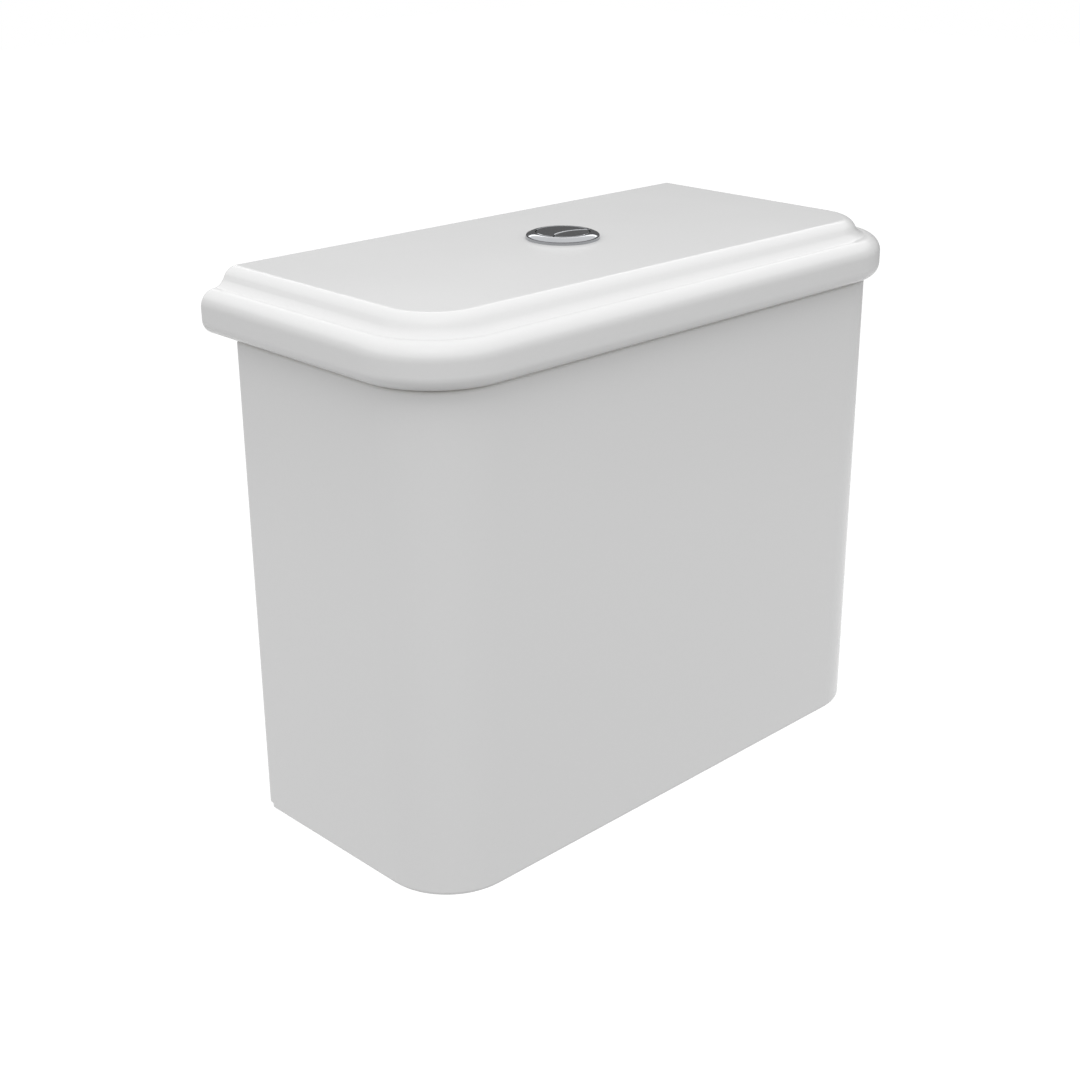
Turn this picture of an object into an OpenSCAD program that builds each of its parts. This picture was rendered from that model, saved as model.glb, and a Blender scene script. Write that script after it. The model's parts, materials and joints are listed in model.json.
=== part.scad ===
// Close-coupled toilet cistern: glazed tank and moulded lid, twin push button,
// drop valve for the flush, float valve for the filling, and the bolts to the pan.
// Frame: +Z up, +Y to the wall, origin on the flush axis at the tank's underside.

/* [Tank] */
// Width of the tank
tank_w = 411; // [390:1:460]
// Depth of the tank
tank_d = 173; // [165:1:200]
// Height of the tank's rim above its underside
tank_h = 313; // [310:1:360]
// Radius of the two front corners
tank_corner_r = 45; // [36:1:60]
// Thickness of the tank's walls
tank_wall = 10; // [8:0.5:13]
// Thickness of the tank's floor
tank_floor = 12; // [9:0.5:16]
// Rounding along the foot of the front and the sides
foot_r = 3; // [1:0.5:6]
// Rounding of the rim's outer edge
rim_r = 2; // [1:0.5:4]
// Rounding of the two upright rear edges
rear_r = 4; // [1:0.5:6]
// Depth of the rebate along the rear bottom edge
rebate_d = 5; // [2:0.5:8]
// Height of the rebate along the rear bottom edge
rebate_h = 4; // [2:0.5:8]
// Distance from the flush axis to the tank's back
outlet_to_back = 65.5; // [62:0.5:76]

/* [Lid] */
// Overhang of the lid at the front and the sides
lid_side = 9.5; // [6:0.5:16]
// Overhang of the lid at the back
lid_back = 18.5; // [0:0.5:24]
// Height of the lid
lid_h = 38; // [34:0.5:50]
// Thickness of the lid's flat top
lid_top_t = 11; // [8:0.5:14]
// Height of the rounded bead along the lid's edge
bead_h = 26.8; // [22:0.2:28]
// Rounding of the bead's upper side
bead_r = 10.3; // [6:0.1:11.5]
// Rounding of the lid's lower edge
edge_r = 9.4; // [5:0.1:10]
// Depth of the cove below the bead's top, so that they meet in a crease
cove_sink = 0.2; // [0.1:0.1:1]
// Radius of the cove
cove_r = 9.2; // [6:0.1:10]
// Radius of the crown, the rounding at the lid's top
crown_r = 10.4; // [9:0.1:12]
// Distance from the lid's edge to where the crown starts
crown_inset = 26.6; // [25:0.1:32]
// Thickness of the soft buffers between the tank and the lid
buffer_t = 1; // [0.5:0.5:3]
// Depth of the lip that keeps the lid in place
lip_h = 7; // [4:0.5:10]

/* [Button] */
// Diameter of the bezel
bezel_d = 47; // [44:0.5:54]
// Height of the bezel and the buttons above the lid
bezel_rise = 4.1; // [3:0.1:6]
// Height of the bezel's straight edge
bezel_edge = 2.2; // [1:0.1:3]
// Radius of the bezel's rounded face
bezel_round = 12; // [10:0.5:20]
// Outer diameter of the housing's barrel
barrel_d = 38; // [36:0.5:39.5]
// Wall of the housing's barrel
barrel_wall = 1.7; // [1.2:0.1:2.2]
// Clearance of the barrel in the lid's hole
lid_hole_gap = 1; // [0.5:0.1:1.5]
// Depth of the housing below the lid's top
barrel_depth = 30; // [28:0.5:36]
// Stroke of each button
button_travel = 9; // [6:0.5:9]
// Radius of the curved split between the buttons
split_r = 21.8; // [18:0.2:30]
// Distance of the split's apex in front of the button's centre
split_apex = 1.3; // [0:0.1:3]
// Diameter of the push rods
rod_d = 6; // [5:0.5:7]

/* [Flush valve] */
// Outer diameter of the valve's threaded tail
tail_d = 59.6; // [56:0.2:62]
// Bore of the valve's outlet
outlet_d = 50; // [44:0.5:51]
// Depth of the tail below the tank's underside
tail_depth = 44; // [44:1:60]
// Outer diameter of the valve's flange
valve_flange_d = 88; // [84:1:92]
// Outer diameter of the lift tube
tube_d = 34; // [30:0.5:35]
// Wall of the lift tube
tube_wall = 3; // [2:0.5:4]
// Height of the lift tube's open top, where the cistern overflows
overflow_z = 244; // [230:1:248]
// Reach of the levers' noses from the flush axis
lever_reach = 48; // [46:0.5:52]
// Distance of the levers' pivots from the flush axis
lever_pivot = 20; // [18:0.5:22]

/* [Fill valve] */
// Distance of the inlet holes from the tank's sides
inlet_to_side = 65.5; // [58:0.5:72]
// Distance of the inlet holes in front of the flush axis
inlet_y = 15; // [10:1:25]
// Outer diameter of the half-inch inlet thread
inlet_d = 20.9; // [20:0.1:21]
// Length of the inlet tail below the tank's underside
inlet_tail = 45; // [40:1:60]
// Outer diameter of the float
float_d = 62; // [50:1:64]
// Height of the float
float_h = 62; // [40:1:64]
// Travel of the float
float_travel = 12; // [8:0.5:12]

/* [Fixings] */
// Distance between the two bolts to the pan
bolt_spacing = 160; // [150:1:180]
// Diameter of the bolts
bolt_d = 8; // [6:1:8]
// Reach of the bolts below the tank's underside
bolt_reach = 62; // [50:1:80]

/* [Hidden] */
$fn = 96;

// Clearances: a loose gap, a threaded or clipped fit, and a running fit on a pin
gap = 0.3;
thread_gap = 0.1;
pin_gap = 0.05;
// Overlap of cuts and of shapes that are joined
lap = 1;
// Step by which a washer or cover stays inside the edge over it
edge_step = 1;

// Places of the tank
half_w = tank_w / 2;
back_y = outlet_to_back;
front_y = outlet_to_back - tank_d;
inner_rear_r = 12;
tail_hole_gap = 2;

// Places of the lid
lid_z = tank_h + buffer_t;
lid_top = lid_z + lid_h;
lid_under = lid_top - lid_top_t;
lip_gap = 2.5;
lip_w = 8;
buffer_r = tank_wall / 2 - 1;

// Places of the button, measured from the lid's top
bore_r = barrel_d / 2 - barrel_wall;
bezel_lip = 0.8;
button_r = bore_r - gap;
cap_t = 5;
button_edge = 0.5;
button_boss_r = rod_d / 2 + 1.6;
button_boss_z = -8;
housing_floor_t = 3;
housing_floor_z = button_boss_z - button_travel - 3;
full_rod_y = 8;
half_rod_y = -9.3;
split_gap = 0.5;
washer_t = 2;
housing_washer_w = 7;
housing_nut_w = 8;
housing_nut_h = 10;

// Springs under the buttons
spring_wire = 1;
spring_coil_r = button_boss_r + spring_wire;
spring_turns = 6;
spring_low = housing_floor_z;
spring_high = bezel_rise - cap_t;

// Places of the flush valve
sealing_t = 3;
flange_z = tank_floor + sealing_t;
flange_t = 4;
flange_top = flange_z + flange_t;
throat_step = 0.5;
throat_z = flange_z + 2;
seat_top = flange_top + 5;
seat_r = outlet_d / 2 + 3;
seat_w = 2;
seal_t = 3;
seal_r = seat_r + 5;
clamp_t = 4;
clamp_r = seat_r - 3;
tube_r = tube_d / 2;
tube_flange_r = seat_r + 3;
tube_flange_t = 4;
tube_cone_h = 4;
post_r = seat_r + 12;
post_count = 4;
post_w = 8;
post_t = 6;
guide_wall = 4;
spoke_w = 4;
cage_h = 55;
cage_z = flange_z + cage_h;
ring_h = 6;
ring_out_r = post_r + 3.5;
ring_in_r = post_r - 3.5;
head_t = 5;
head_hole_r = 9;
lever_w = 8;
nose_r = 3;
bar_t = 5;
lever_boss_r = 5;
pin_r = 2;
ear_t = 3;
ear_r = 4.5;
pin_end = 1;
// Each lever turns a little ahead of its rod, and the tube rises at the rate of the nose's start
lever_lead = 1.067;
lever_angle = lever_lead * button_travel / lever_pivot * 180 / PI;
nose_lift = (lever_reach - lever_pivot) * sin(lever_angle);
tube_lift = 1.5 * button_travel;
head_z = overflow_z + tube_lift + 4.5;
lever_rise = 22;
lever_z = head_z + lever_rise;
rod_tip = lever_z + nose_r + gap;
yoke_z = overflow_z - 18;
yoke_t = 6;
yoke_wall = 5;
yoke_lip = 4;
guide_drop = 30;
guide_z = yoke_z - guide_drop;
half_float_h = 30;
half_float_z = guide_z - tube_lift - 2.5 - half_float_h;
full_float_h = 38;
full_float_z = cage_z + ring_h + 16;
tower_ring_drop = 30;
tower_ring_z = (cage_z + head_z) / 2 - tower_ring_drop;
float_wall_gap = 3;
cup_skin = 2;
yoke_link_t = 4;
yoke_link_x = lever_reach + nose_r + 3;
back_nut_h = 12;
back_nut_flats = tail_d + 9;
back_nut_r = tail_d / 2 + 11.2;
spigot_len = 16;
spigot_step = 1.8;
gasket_w = 15;
gasket_h = tail_depth - spigot_len;
gasket_taper_h = 10;
gasket_taper = 5;
gasket_room = 2;
gasket_bore_r = tail_d / 2 + 4;

// Places of the fill valve
inlet_x = half_w - inlet_to_side;
inlet_hole_r = inlet_d / 2 + 2.5;
inlet_bore_r = 5;
inlet_flange_r = inlet_d / 2 + 9;
inlet_flange_t = 5;
inlet_nut_flats = inlet_d + 11;
groove_h = 2;
groove_depth = 1;
filter_step = 1.2;
filter_sink = 1;
filter_head_t = 3;
filter_len = 20;
filter_gap = 0.6;
filter_wall = 1.2;
filter_slot_w = 1.2;
filter_slot_h = 4;
filter_slot_pitch = 7;
riser_r = 12;
riser_cone_h = 3;
valve_head_r = 19;
valve_head_cone = 4;
head_low = 196;
valve_head_h = 30;
cap_low = head_low + valve_head_h;
diaphragm_t = 2;
cap_h = 8;
nozzle_r = 2;
arm_pivot_x = 12;
link_x = 40;
arm_rise = 22;
arm_pivot_z = cap_low + arm_rise;
arm_w = 8;
arm_slot_gap = 1.2;
arm_tilt = asin(float_travel / 2 / (link_x - arm_pivot_x));
float_low = head_low - float_travel - 8 - float_h;
link_r = 2;
link_foot_r = 5;
link_foot_t = 2;
link_top = 16;
collar_r = 4.5;
collar_t = 3;
collar_room = 4.5;
lug_r = 6;
lug_h = 8;
lug_z = float_low + float_h - 14;
lug_root = 1.5;
inlet_nut_h = 12;
plug_flange_r = inlet_d / 2 + 8;
plug_flange_t = 4;
plug_tail = 3;

// Places of the fixings
bolt_hole_r = bolt_d / 2 + 3;
cone_t = 6;
cone_depth = 5;
plate_t = 1.5;
plate_r = bolt_d + 4;
bolt_head_t = 6;
bolt_nut_h = 0.8 * bolt_d;
bolt_nut_flats = 1.625 * bolt_d;
bolt_nut_top = -sealing_t - plate_t;
neck_room = 1;
neck_h = 1.5;
neck_depth = 0.6;

ceramic = "white";
chrome = "silver";
plastic = "gainsboro";
blue_plastic = "steelblue";
rubber = "dimgray";
brass = "goldenrod";
steel = "lightgray";

// Flat shapes

// A pie slice of a disc, up to a quarter turn
module sector(r, from, to) {
    middle = (from + to) / 2;
    intersection() {
        circle(r);
        polygon([[0, 0], for (a = [from, middle, to]) 2 * r * [cos(a), sin(a)]]);
    }
}

// The tank's plan, drawn in by some distance, with round corners
module plan(inset, front_r, rear_r) {
    x = half_w - inset;
    f = front_y + inset;
    b = back_y - inset;
    polygon([
        [-x + front_r, f], [x - front_r, f], [x - front_r, f + front_r], [x, f + front_r],
        [x, b - rear_r], [x - rear_r, b - rear_r], [x - rear_r, b], [-x + rear_r, b],
        [-x + rear_r, b - rear_r], [-x, b - rear_r], [-x, f + front_r], [-x + front_r, f + front_r]
    ]);
    for (s = [0, 1]) mirror([s, 0]) {
        translate([x - front_r, f + front_r]) sector(front_r, 270, 360);
        translate([x - rear_r, b - rear_r]) sector(rear_r, 0, 90);
    }
}

// Section of the tank's side: u is 0 on its outer face and grows outwards
module tank_section() {
    polygon([
        [-tank_corner_r, 0], [-foot_r, 0], [-foot_r, foot_r], [0, foot_r],
        [0, tank_h - rim_r], [-rim_r, tank_h - rim_r], [-rim_r, tank_h], [-tank_corner_r, tank_h]
    ]);
    translate([-foot_r, foot_r]) sector(foot_r, 270, 360);
    translate([-rim_r, tank_h - rim_r]) sector(rim_r, 0, 90);
}

// Section of the tank's back, with the rim's rounding
module back_section() {
    r = min(rim_r, rear_r - gap);
    polygon([[-rear_r, 0], [0, 0], [0, tank_h - r], [-r, tank_h - r], [-r, tank_h], [-rear_r, tank_h]]);
    translate([-r, tank_h - r]) sector(r, 0, 90);
}

// Section of the lid's side: rounded edge, bead, cove and crown, from the edge up
module lid_section() {
    edge_u = lid_side - edge_r;
    bead_u = lid_side - bead_r;
    crown_u = lid_side - crown_inset;
    edge_z = lid_z + edge_r;
    bead_top = lid_z + bead_h;
    bead_z = bead_top - bead_r;
    crown_z = lid_top - crown_r;
    cove_z = bead_top - cove_sink + cove_r;
    swing = asin((cove_z - crown_z) / (crown_r + cove_r));
    cove_u = crown_u + (crown_r + cove_r) * cos(swing);
    polygon([
        [-tank_corner_r, lid_z], [edge_u, lid_z], [edge_u, edge_z], [lid_side, edge_z],
        [lid_side, bead_z], [bead_u, bead_z], [bead_u, bead_top],
        [crown_u, bead_top], [crown_u, lid_top], [-tank_corner_r, lid_top]
    ]);
    translate([edge_u, edge_z]) sector(edge_r, 270, 360);
    translate([bead_u, bead_z]) sector(bead_r, 0, 90);
    difference() {
        polygon([[crown_u, bead_z], [cove_u, bead_z], [cove_u, cove_z], [crown_u, crown_z]]);
        translate([cove_u, cove_z]) circle(cove_r);
    }
    translate([crown_u, crown_z]) sector(crown_r, swing, 90);
}

// Solids that repeat

// A side section carried along both sides, the two front corners and the front
module carried(low, high, rear) {
    r = tank_corner_r;
    x = half_w - r;
    y = front_y + r;
    translate([-x, y, low]) cube([2 * x, rear - y, high - low]);
    for (s = [0, 1]) mirror([s, 0, 0]) {
        translate([x, rear, 0]) rotate([90, 0, 0]) linear_extrude(rear - y) translate([r, 0]) children();
        translate([x, y, 0]) rotate([0, 0, -90]) rotate_extrude(angle = 90) translate([r, 0]) children();
    }
    translate([x, y, 0]) rotate([90, 0, -90]) linear_extrude(2 * x) translate([r, 0]) children();
}

// A plain ring between two heights
module ring(outer, inner, low, high) {
    difference() {
        translate([0, 0, low]) cylinder(r = outer, h = high - low);
        translate([0, 0, low - lap]) cylinder(r = inner, h = high - low + 2 * lap);
    }
}

// An air cup for a float: a double-walled ring, closed above and open below
module air_cup(inner, outer, low, high) {
    slope = 4;
    roof = high - cup_skin;
    rotate_extrude() polygon([
        [inner, low], [inner + cup_skin, low], [inner + cup_skin, roof],
        [outer - cup_skin - slope, roof], [outer - cup_skin, roof - slope], [outer - cup_skin, low],
        [outer, low], [outer, high - slope], [outer - slope, high], [inner, high]
    ]);
}

// A disc or rod between two heights
module rod(r, low, high) {
    translate([0, 0, low]) cylinder(r = r, h = high - low);
}

// A hexagon nut with a round flange on its upper side
module flanged_nut(flats, bore, flange, low, high) {
    flange_h = 2.5;
    difference() {
        union() {
            translate([0, 0, low]) cylinder(d = flats / cos(30), h = high - low, $fn = 6);
            rod(flange, high - flange_h, high);
        }
        rod(bore, low - lap, high + lap);
    }
}

// A pair of ears for a pin along Y, on each side of a lever
module pivot_ears(x, y, foot, high, lever) {
    for (side = [-1, 1]) translate([x, y + side * (lever / 2 + gap + ear_t / 2), 0]) difference() {
        union() {
            translate([-ear_r, -ear_t / 2, foot]) cube([2 * ear_r, ear_t, high - foot]);
            translate([0, ear_t / 2, high]) rotate([90, 0, 0]) cylinder(r = ear_r, h = ear_t);
        }
        translate([0, ear_t, high]) rotate([90, 0, 0]) cylinder(r = pin_r + pin_gap, h = 2 * ear_t);
    }
}

// A pin along Y through a pair of ears
module pivot_pin(x, y, high, lever) {
    length = lever + 2 * (gap + ear_t + pin_end);
    translate([x, y + length / 2, high]) rotate([90, 0, 0]) cylinder(r = pin_r, h = length);
}

// The hole for a pivot pin across a lever
module pin_hole(lever) {
    translate([0, lever, 0]) rotate([90, 0, 0]) cylinder(r = pin_r + pin_gap, h = 2 * lever);
}

// A bar in a plane across Y, with a round boss at each place along it
module bar(places, radii, thick, wide) {
    rotate([90, 0, 0]) translate([0, 0, -wide / 2]) linear_extrude(wide) {
        for (i = [0 : len(places) - 1]) translate([places[i], 0]) circle(radii[i]);
        translate([min(places), -thick / 2]) square([max(places) - min(places), thick]);
    }
}

// Points round a wire, for a helix that stands on a flat end
function helix_point(t, low, high) = [
    spring_coil_r * cos(360 * spring_turns * t),
    spring_coil_r * sin(360 * spring_turns * t),
    low + spring_wire / 2 + (high - low - spring_wire) * t
];
// Least gap between neighbouring curls, measured between points one curl apart
function spring_gap(low, high) = min([
    for (turn = [0 : 1 / 8 : spring_turns - 1]) norm(
        helix_point((turn + 1) / spring_turns, low, high) - helix_point(turn / spring_turns, low, high)
    )
]) - spring_wire;
echo(spring_gap_at_rest = spring_gap(spring_low, spring_high));
echo(spring_gap_when_pressed = spring_gap(spring_low, spring_high - button_travel));

module spring(low, high) {
    sides = 6;
    rings = 8 * spring_turns;
    rise = atan((high - low - spring_wire) / (360 * spring_turns * spring_coil_r * PI / 180));
    points = [
        for (i = [0 : rings]) let (
            c = helix_point(i / rings, low, high),
            a = 360 * spring_turns * i / rings
        ) for (k = [0 : sides - 1]) let (
            out = spring_wire / 2 * cos(360 * k / sides),
            up = spring_wire / 2 * sin(360 * k / sides)
        ) c + [
            out * cos(a) + up * sin(rise) * sin(a),
            out * sin(a) - up * sin(rise) * cos(a),
            up * cos(rise)
        ]
    ];
    walls = [
        for (i = [0 : rings - 1], k = [0 : sides - 1]) let (
            n = (k + 1) % sides,
            p = i * sides
        ) each [[p + k, p + sides + k, p + n], [p + n, p + sides + k, p + sides + n]]
    ];
    first = [for (k = [1 : sides - 2]) [0, k, k + 1]];
    last = [for (k = [1 : sides - 2]) [rings * sides, rings * sides + k + 1, rings * sides + k]];
    polyhedron(points, concat(walls, first, last));
}

// Tank

// The tank's back, between and round its two upright edges
module tank_back() {
    x = half_w - rear_r;
    y = back_y - rear_r;
    translate([-x, y, 0]) rotate([90, 0, 90]) linear_extrude(2 * x) translate([rear_r, 0]) back_section();
    for (s = [0, 1]) mirror([s, 0, 0]) translate([x, y, 0])
        rotate_extrude(angle = 90) translate([rear_r, 0]) back_section();
}

module tank() {
    color(ceramic) difference() {
        union() {
            carried(0, tank_h, back_y - rear_r) tank_section();
            tank_back();
        }
        translate([0, 0, tank_floor]) linear_extrude(tank_h)
            plan(tank_wall, tank_corner_r - tank_wall, inner_rear_r);
        translate([-half_w - lap, back_y - rebate_d, -lap])
            cube([tank_w + 2 * lap, rebate_d + lap, rebate_h + lap]);
        rod(tail_d / 2 + tail_hole_gap, -lap, tank_floor + lap);
        for (s = [-1, 1]) {
            translate([s * bolt_spacing / 2, 0, 0]) rod(bolt_hole_r, -lap, tank_floor + lap);
            translate([s * inlet_x, -inlet_y, 0]) rod(inlet_hole_r, -lap, tank_floor + lap);
        }
    }
}

module lid_buffers() {
    x = half_w - tank_wall / 2;
    color(rubber) for (s = [-1, 1], y = [front_y + tank_corner_r, back_y - tank_wall - inner_rear_r])
        translate([s * x, y, 0]) rod(buffer_r, tank_h, lid_z);
}

// Lid

module lid() {
    lip = tank_wall + lip_gap;
    inner = lip + lip_w;
    color(ceramic) difference() {
        union() {
            carried(lid_z, lid_top, back_y + lid_back) lid_section();
            translate([0, 0, lid_z - lip_h]) linear_extrude(lip_h + lap)
                plan(lip, tank_corner_r - lip, inner_rear_r);
        }
        translate([0, 0, lid_z - lip_h - lap]) linear_extrude(lid_under - lid_z + lip_h + lap)
            plan(inner, tank_corner_r - inner, inner_rear_r);
        rod(barrel_d / 2 + lid_hole_gap, lid_under - lap, lid_top + lap);
    }
}

// Push button

// Section of the bezel: a straight edge, then an arc up to its lip
module bezel_section() {
    edge = [bezel_d / 2, bezel_edge];
    lip = [bore_r + bezel_lip, bezel_rise];
    chord = lip - edge;
    sink = sqrt(pow(bezel_round, 2) - pow(norm(chord) / 2, 2));
    middle = (edge + lip) / 2;
    intersection() {
        translate([bore_r, 0]) square([edge.x - bore_r, bezel_rise]);
        translate(middle + sink * [-chord.y, chord.x] / norm(chord)) circle(bezel_round);
    }
}

module button_housing() {
    color(chrome) translate([0, 0, lid_top]) difference() {
        union() {
            rotate_extrude() {
                translate([bore_r, -barrel_depth]) square([barrel_wall, barrel_depth]);
                bezel_section();
            }
            rod(bore_r + barrel_wall / 2, housing_floor_z - housing_floor_t, housing_floor_z);
        }
        for (y = [full_rod_y, half_rod_y]) translate([0, y, housing_floor_z])
            rod(rod_d / 2 + gap, -housing_floor_t - lap, lap);
    }
}

module housing_washer() {
    r = barrel_d / 2;
    color(rubber) ring(r + housing_washer_w, r + thread_gap, lid_under - washer_t, lid_under);
}

module housing_nut() {
    r = barrel_d / 2;
    high = lid_under - washer_t;
    color(plastic) flanged_nut(
        barrel_d + housing_nut_w, r + thread_gap, r + housing_nut_w, high - housing_nut_h, high
    );
}

// The round of both buttons, from which each takes its side of the curved split
module button_round() {
    low = bezel_rise - cap_t;
    rotate_extrude() polygon([
        [0, low], [button_r, low], [button_r, bezel_rise - button_edge],
        [button_r - button_edge, bezel_rise], [0, bezel_rise]
    ]);
}

module split_cut(r) {
    translate([0, -split_apex - split_r, 0]) rod(r, bezel_rise - cap_t - lap, bezel_rise + lap);
}

module button_boss(y) {
    difference() {
        translate([0, y, 0]) rod(button_boss_r, button_boss_z, bezel_rise - lap);
        translate([0, y, 0]) rod(rod_d / 2 + thread_gap, button_boss_z - lap, bezel_rise - cap_t);
    }
}

module full_flush_button() {
    color(chrome) translate([0, 0, lid_top]) {
        difference() {
            button_round();
            split_cut(split_r + split_gap);
        }
        button_boss(full_rod_y);
    }
}

module half_flush_button() {
    color(chrome) translate([0, 0, lid_top]) {
        intersection() {
            button_round();
            split_cut(split_r);
        }
        button_boss(half_rod_y);
    }
}

module push_rod(y) {
    color(plastic) translate([0, y, 0]) rod(rod_d / 2, rod_tip, lid_top + bezel_rise - cap_t);
}

module button_spring(y) {
    color(steel) translate([0, y, lid_top]) spring(spring_low, spring_high);
}

// Flush valve

// Threaded tail, flange and seat; the bore is a little wider inside the tank than below it
module valve_base() {
    bore = outlet_d / 2;
    throat = bore + throat_step;
    spigot = tail_d / 2 - spigot_step;
    spigot_top = spigot_len - tail_depth;
    color(plastic) rotate_extrude() polygon([
        [bore, -tail_depth], [spigot, -tail_depth], [spigot, spigot_top], [tail_d / 2, spigot_top],
        [tail_d / 2, flange_z], [valve_flange_d / 2, flange_z], [valve_flange_d / 2, flange_top],
        [seat_r + 2 * seat_w, flange_top], [seat_r + seat_w, seat_top], [seat_r, seat_top],
        [seat_r, throat_z], [throat, throat_z], [throat, 0], [bore, 0]
    ]);
}

module valve_washer() {
    color(rubber) ring(valve_flange_d / 2 - 2 * edge_step, tail_d / 2 + thread_gap, tank_floor, flange_z);
}

module valve_back_nut() {
    color(plastic) flanged_nut(back_nut_flats, tail_d / 2 + thread_gap, back_nut_r, -back_nut_h, 0);
}

module coupling_gasket() {
    inner = back_nut_r + gap;
    outer = inner + gasket_w;
    step_z = -back_nut_h - gasket_room;
    color(rubber) rotate_extrude() polygon([
        [inner, 0], [outer, 0], [outer, gasket_taper_h - gasket_h], [outer - gasket_taper, -gasket_h],
        [gasket_bore_r, -gasket_h], [gasket_bore_r, step_z], [inner, step_z]
    ]);
}

// Turns its child to the direction of each post
module at_posts() {
    for (i = [0 : post_count - 1]) rotate((i + 0.5) * 360 / post_count) children();
}

// A ring close round the tube, on spokes from the posts
module tube_guide(low) {
    outer = tube_r + guide_wall;
    ring(outer, tube_r + gap, low, low + ring_h);
    at_posts() translate([outer - lap, -spoke_w / 2, low]) cube([post_r - outer + lap, spoke_w, ring_h]);
}

// Posts that stand on the base's flange, with the rings that tie them and the tube's guides
module valve_tower() {
    color(plastic) {
        at_posts() translate([post_r - post_t / 2, -post_w / 2, flange_top])
            cube([post_t, post_w, head_z - flange_top]);
        ring(ring_out_r, ring_in_r, cage_z - ring_h, cage_z + ring_h);
        ring(ring_out_r, ring_in_r, tower_ring_z, tower_ring_z + ring_h);
        tube_guide(cage_z);
        tube_guide(guide_z);
    }
}

// Plate on the posts, with the ears for the levers
module valve_head() {
    ear_z = head_z + head_t - lap;
    color(plastic) {
        ring(ring_out_r, head_hole_r, head_z, head_z + head_t);
        pivot_ears(-lever_pivot, full_rod_y, ear_z, lever_z, lever_w);
        pivot_ears(lever_pivot, half_rod_y, ear_z, lever_z, lever_w);
    }
}

module lift_tube() {
    inner = tube_r - tube_wall;
    foot = seat_top - clamp_t;
    seal_top = seat_top + seal_t;
    flange_high = seal_top + tube_flange_t;
    color(plastic) rotate_extrude() polygon([
        [inner, foot], [tube_r, foot], [tube_r, seal_top], [tube_flange_r, seal_top],
        [tube_flange_r, flange_high], [tube_r, flange_high + tube_cone_h],
        [tube_r, overflow_z], [inner, overflow_z]
    ]);
}

module main_seal() {
    color(rubber) ring(seal_r, tube_r + thread_gap, seat_top, seat_top + seal_t);
}

module seal_clamp() {
    color(blue_plastic) ring(clamp_r, tube_r + thread_gap, seat_top - clamp_t, seat_top);
}

module full_flush_float() {
    outer = post_r - post_t / 2 - float_wall_gap;
    color(blue_plastic) air_cup(tube_r + thread_gap, outer, full_float_z, full_float_z + full_float_h);
}

module half_flush_float() {
    outer = post_r - post_t / 2 - 2 * float_wall_gap;
    color(blue_plastic) air_cup(tube_r + thread_gap, outer, half_float_z, half_float_z + half_float_h);
}

// One side of the yoke: an arm, an upright link and a lip over the lever's nose
module yoke_side(y, lip_z) {
    link_out = yoke_link_x + yoke_link_t;
    arm_in = tube_r + lap;
    lip_in = lever_reach - yoke_lip;
    translate([0, y - lever_w / 2, 0]) {
        translate([arm_in, 0, yoke_z]) cube([link_out - arm_in, lever_w, yoke_t]);
        translate([yoke_link_x, 0, yoke_z]) cube([yoke_link_t, lever_w, lip_z + yoke_link_t - yoke_z]);
        translate([lip_in, 0, lip_z]) cube([link_out - lip_in, lever_w, yoke_link_t]);
    }
}

module lift_yoke() {
    near = lever_z + nose_r + gap;
    color(blue_plastic) difference() {
        union() {
            rod(tube_r + yoke_wall, yoke_z, yoke_z + yoke_t);
            mirror([1, 0, 0]) yoke_side(full_rod_y, near);
            yoke_side(half_rod_y, near + nose_lift + gap);
        }
        rod(tube_r + thread_gap, yoke_z - lap, yoke_z + yoke_t + lap);
    }
}

// Lever for one side: pad under the rod, pivot, and nose under the yoke
module flush_lever() {
    color(blue_plastic) translate([0, 0, lever_z]) difference() {
        bar([0, lever_pivot, lever_reach], [nose_r, lever_boss_r, nose_r], bar_t, lever_w);
        translate([lever_pivot, 0, 0]) pin_hole(lever_w);
    }
}

module full_flush_lever() {
    translate([0, full_rod_y, 0]) mirror([1, 0, 0]) flush_lever();
}

module half_flush_lever() {
    translate([0, half_rod_y, 0]) flush_lever();
}

module lever_pins() {
    color(steel) {
        pivot_pin(-lever_pivot, full_rod_y, lever_z, lever_w);
        pivot_pin(lever_pivot, half_rod_y, lever_z, lever_w);
    }
}

// Fill valve

module at_inlet(side) {
    translate([side * inlet_x, -inlet_y, 0]) children();
}

module fill_valve_body() {
    bore = inlet_bore_r;
    shank_r = inlet_d / 2;
    groove_top = -inlet_nut_h - groove_h;
    groove_low = groove_top - groove_h;
    filter_seat = filter_sink + filter_head_t - inlet_tail;
    inlet_flange_top = flange_z + inlet_flange_t;
    color(plastic) at_inlet(-1) rotate_extrude() polygon([
        [bore, filter_seat], [bore + filter_step, filter_seat], [bore + filter_step, -inlet_tail],
        [shank_r, -inlet_tail], [shank_r, groove_low], [shank_r - groove_depth, groove_low],
        [shank_r - groove_depth, groove_top], [shank_r, groove_top],
        [shank_r, flange_z], [inlet_flange_r, flange_z], [inlet_flange_r, inlet_flange_top],
        [riser_r, inlet_flange_top + riser_cone_h], [riser_r, head_low - valve_head_cone],
        [valve_head_r, head_low], [valve_head_r, cap_low], [bore, cap_low]
    ]);
}

module fill_valve_washer() {
    color(rubber) at_inlet(-1)
        ring(inlet_flange_r - edge_step, inlet_d / 2 + thread_gap, tank_floor, flange_z);
}

// Nut under the tank's floor, on the fill valve or on the plug
module inlet_nut(side) {
    color(plastic) at_inlet(side)
        flanged_nut(inlet_nut_flats, inlet_d / 2 + thread_gap, inlet_flange_r, -inlet_nut_h, 0);
}

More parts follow.
